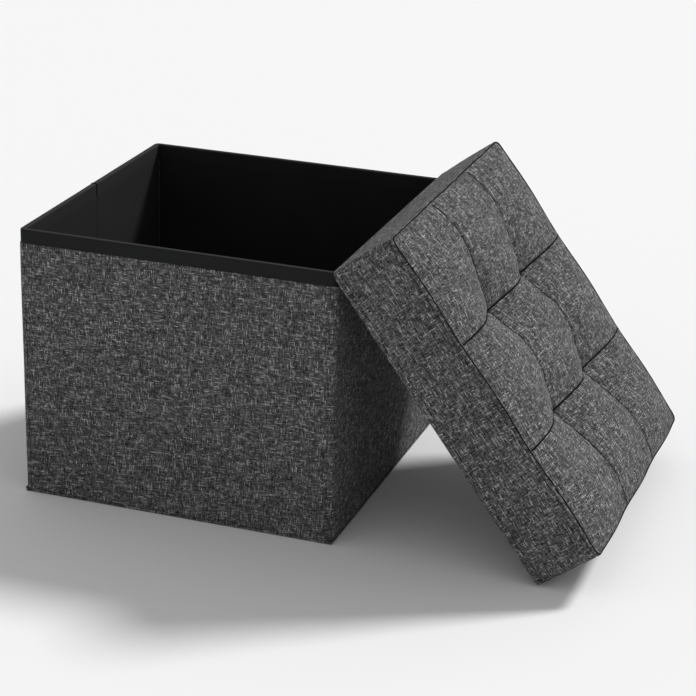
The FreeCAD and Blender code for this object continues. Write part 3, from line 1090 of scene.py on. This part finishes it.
def stitches(name, path, z, out, length, gap, radius, material):
    """A row of short sewn threads along a closed path."""
    total = path[-1][4] + path_step(path)
    places = np.array([p[4] for p in path] + [total])
    xs = np.array([p[0] for p in path] + [path[0][0]])
    ys = np.array([p[1] for p in path] + [path[0][1]])
    nxs = np.array([p[2] for p in path] + [path[0][2]])
    nys = np.array([p[3] for p in path] + [path[0][3]])
    verts, faces = [], []
    count = int(total / (length + gap))
    ring = 5
    for i in range(count):
        s0 = total * i / count
        base = len(verts)
        for q in range(5):
            f = q / 4
            s = s0 + length * f
            x, y = np.interp(s, places, xs), np.interp(s, places, ys)
            nx, ny = np.interp(s, places, nxs), np.interp(s, places, nys)
            swell = math.sin(math.pi * (0.12 + 0.76 * f))
            r = radius * swell
            o = out - radius * 0.6 + radius * 0.6 * swell
            for w in range(ring):
                a = 2 * math.pi * w / ring
                d = o + r * math.cos(a)
                verts.append((x + nx * d, y + ny * d, z + r * math.sin(a)))
        for q in range(4):
            for w in range(ring):
                e = (w + 1) % ring
                low_ring, high_ring = base + q * ring, base + (q + 1) * ring
                faces.append((low_ring + w, low_ring + e, high_ring + e, high_ring + w))
        faces.append(tuple(base + w for w in range(ring)))
        faces.append(tuple(base + 4 * ring + w for w in range(ring))[::-1])
    return mesh_from(name, verts, faces, None, material)


def build_lid_stitching():
    path = rounded_path(LID_X, LID_Y, LID_CORNER, 7 * MM)
    rows = (
        ("lid_topstitch", SEAM - TOPSTITCH, -0.6 * MM, 0.30 * MM),
        ("lid_hem_stitch", HEMSTITCH, -0.45 * MM, 0.28 * MM),
    )
    for name, z, out, radius in rows:
        row = stitches(name, path, z, out, STITCH_LENGTH, STITCH_GAP, radius, DARK_THREAD_AND_SEAM_SHADE)
        put_on_lid(row, "linen_cover")
    # a nearly black thread along the top seam: partly real sewing, partly painted shade for the seam's
    # shadow line
    level = SEAM + 0.25 * MM
    seam = [(x - nx * 1.0 * MM, y - ny * 1.0 * MM, level + scallop(x, y)) for x, y, nx, ny, _ in path]
    put_on_lid(tube("lid_seam_thread", seam, 0.65 * MM, DARK_THREAD_AND_SEAM_SHADE, closed=True), "linen_cover")


def build_lid_lining():
    """The black tray that lines the lid's recess: sides with a folded top edge, and a flat middle."""
    hx, hy = LID_X - LID_WALL, LID_Y - LID_WALL
    t = 0.8 * MM
    profile = [(0.0, 1.1 * MM), (0.0, CAVITY), (t, CAVITY), (t, 1.1 * MM), (t * 0.5, 0.7 * MM)]
    path = rounded_path(hx, hy, 1.2 * MM, 8 * MM)
    sides = sweep("lid_recess_sides", path, profile[::-1], LINING, closed_path=True)
    put_on_lid(sides, "black_lining", "lid_skirt_lining")
    over = 0.9 * MM
    sheet = slab("lid_recess_sheet", hx + over, hy + over, CAVITY, CAVITY + over, 0.2 * MM, LINING)
    put_on_lid(sheet, "black_lining", "lid_lining")


def finish_cad():
    """Give every carried-over CAD node its material."""
    for name, obj in NODES.items():
        if name.endswith("board") or name.endswith("skirt"):
            material = BOARD_MAT
        elif name == "tuft_washers":
            material = WASHER_MAT
        else:
            continue
        obj.data.materials.clear()
        obj.data.materials.append(material)


# ---------------------------------------------------------------- stage
def sun(direction, strength, spread):
    """A very large soft lamp far off, in the given direction from the object."""
    data = bpy.data.lights.new("key", "SUN")
    data.energy = strength
    data.angle = math.radians(spread)
    obj = bpy.data.objects.new("key", data)
    bpy.context.scene.collection.objects.link(obj)
    obj.rotation_euler = Vector(direction).to_track_quat("Z", "Y").to_euler()


SUN_FROM, SUN_STRENGTH, SUN_SPREAD = (0.38, 0.56, 0.73), 2.75, 12  # the key light
ROOM_LIGHT = 0.52
FLOOR_GREY = 0.80


def build_stage():
    mesh = bpy.data.meshes.new("floor")
    r = 60.0
    mesh.from_pydata([(-r, -r, 0), (r, -r, 0), (r, r, 0), (-r, r, 0)], [], [(0, 1, 2, 3)])
    floor = link("floor", mesh)
    floor.location.z = -0.0003
    mat, _, bsdf = node_kit("floor_paper")
    bsdf.inputs["Base Color"].default_value = (FLOOR_GREY, FLOOR_GREY, FLOOR_GREY, 1)
    bsdf.inputs["Roughness"].default_value = 0.9
    bsdf.inputs["Specular IOR Level"].default_value = 0.1
    mesh.materials.append(mat)
    world = bpy.data.worlds.new("studio")
    world.use_nodes = True
    back = world.node_tree.nodes["Background"]
    back.inputs[0].default_value = (1.0, 1.0, 1.0, 1)
    back.inputs[1].default_value = ROOM_LIGHT
    bpy.context.scene.world = world
    sun(SUN_FROM, SUN_STRENGTH, SUN_SPREAD)
    bpy.context.scene.view_settings.view_transform = "Standard"


CAMERA_AZ, CAMERA_EL, CAMERA_ROLL = 18.88, 21.47, 1.46  # degrees
CAMERA_FAR = 2.464
CAMERA_AIM = (0.1322, 0.0, 0.1526)
FOCAL_PER_WIDTH = 3.171  # focal length over the picture's width


def build_camera():
    data = bpy.data.cameras.new("camera")
    data.sensor_width = 36.0
    data.lens = 36.0 * FOCAL_PER_WIDTH
    data.clip_end = 100
    cam = bpy.data.objects.new("camera", data)
    bpy.context.scene.collection.objects.link(cam)
    a, e = math.radians(CAMERA_AZ), math.radians(CAMERA_EL)
    back = Vector((math.sin(a) * math.cos(e), -math.cos(a) * math.cos(e), math.sin(e)))
    right = (-back).cross(Vector((0, 0, 1))).normalized()
    up = right.cross(-back)
    r = math.radians(CAMERA_ROLL)
    right, up = right * math.cos(r) + up * math.sin(r), up * math.cos(r) - right * math.sin(r)
    place = Vector(CAMERA_AIM) + back * CAMERA_FAR
    cam.matrix_world = Matrix(
        [[right[i], up[i], back[i], place[i]] for i in range(3)] + [[0, 0, 0, 1]]
    )
    bpy.context.scene.camera = cam


build_covers()
build_band()
build_linings()
build_base()
build_boxing()
build_cords(build_cushion())
build_lid_stitching()
build_lid_lining()
finish_cad()
build_stage()
build_camera()
